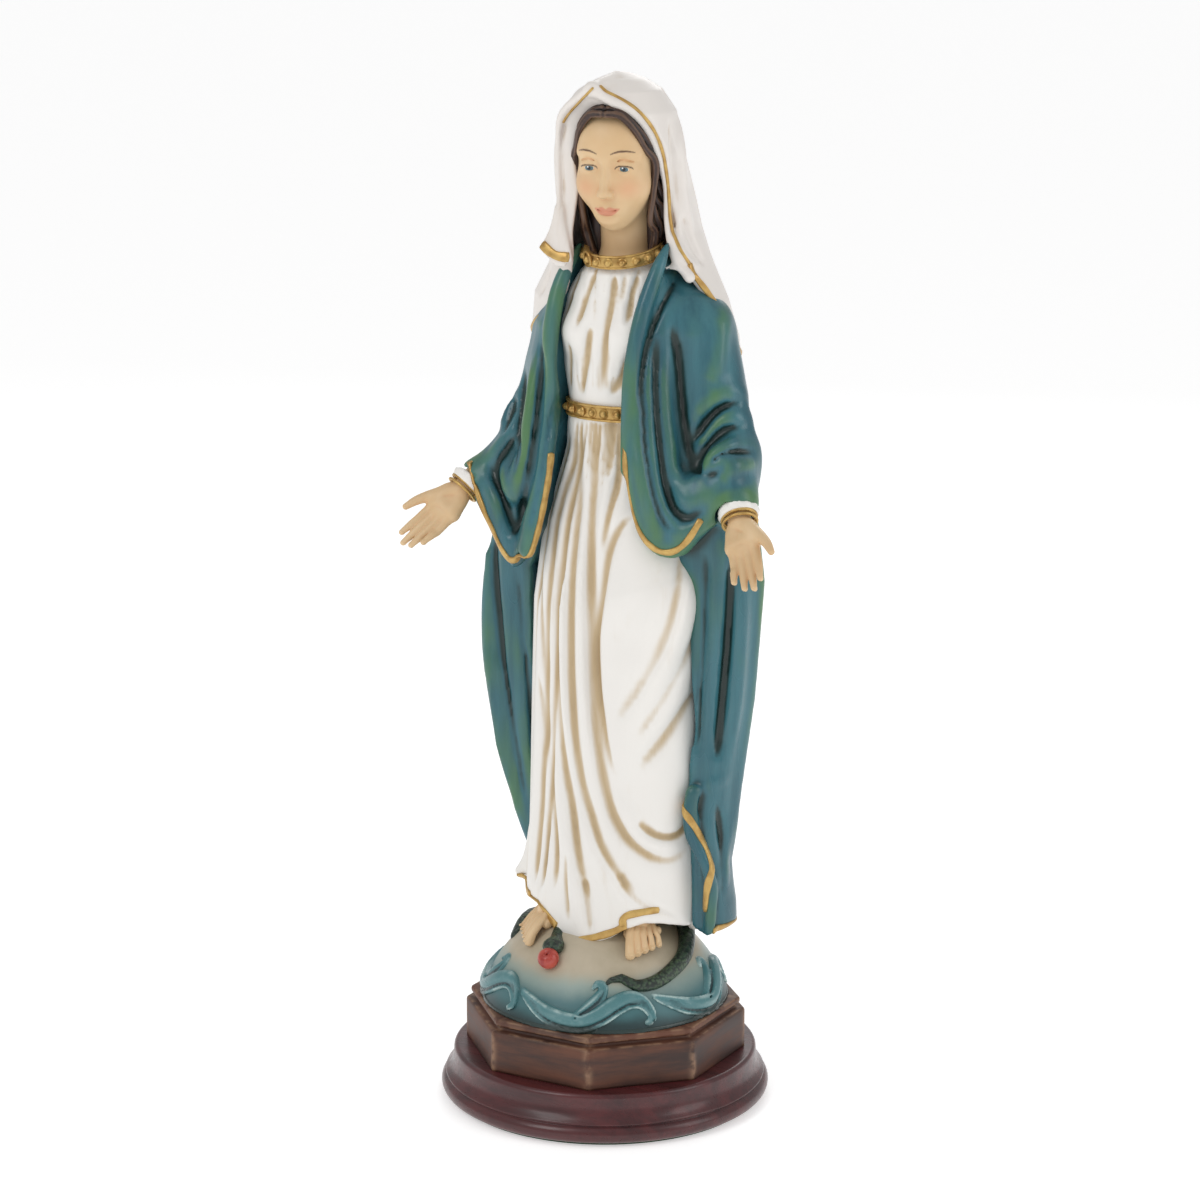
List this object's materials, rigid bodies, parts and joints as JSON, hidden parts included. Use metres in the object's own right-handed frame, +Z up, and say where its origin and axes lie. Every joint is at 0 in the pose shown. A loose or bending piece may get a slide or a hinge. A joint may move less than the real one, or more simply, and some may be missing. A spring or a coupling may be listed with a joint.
{
  "type": "madonna statue",
  "caption": "Painted cast figure of a robed, veiled woman with open hands, standing on a wave-banded globe, octagonal plinth and turned round wooden base.",
  "frame": {"origin": "middle of the felt underside that the statue rests on", "axes": "+Z up through the figure's head, the figure faces -Y, +X is the figure's left"},
  "size_m": [0.2426, 0.1966, 0.61],
  "materials": {
    "felt": "matte",
    "stained_wood": "satin",
    "steel": "satin",
    "plinth_brown": "satin",
    "globe_paint": "matte",
    "wave_paint": "satin",
    "serpent_green": "satin",
    "apple_red": "satin",
    "skin_paint": "matte",
    "gown_white": "satin",
    "hair_brown": "satin",
    "veil_white": "matte",
    "mantle_teal": "satin",
    "gold_paint": "satin"
  },
  "bodies": {
    "root": {"felt_pad": "felt", "wood_base": "stained_wood", "base_screws": "steel", "base_washers": "steel", "plinth": "plinth_brown", "globe": "globe_paint", "wave_relief": "wave_paint", "serpent": "serpent_green", "apple": "apple_red", "right_foot": "skin_paint", "left_foot": "skin_paint", "gown": "gown_white", "gown_hem_trim": "gold_paint", "belt": "gold_paint", "belt_studs": "gold_paint", "collar": "gold_paint", "collar_beads": "gold_paint", "head": "skin_paint", "hair": "hair_brown", "veil": "veil_white", "veil_trim": "gold_paint", "mantle": "mantle_teal", "mantle_trim": "gold_paint", "right_sleeve": "mantle_teal", "left_sleeve": "mantle_teal", "right_sleeve_trim": "gold_paint", "left_sleeve_trim": "gold_paint", "right_cuff": "gown_white", "left_cuff": "gown_white", "right_bracelet": "gold_paint", "left_bracelet": "gold_paint", "right_hand": "skin_paint", "left_hand": "skin_paint", "right_hand_peg": "steel", "left_hand_peg": "steel"}
  },
  "joints": []
}
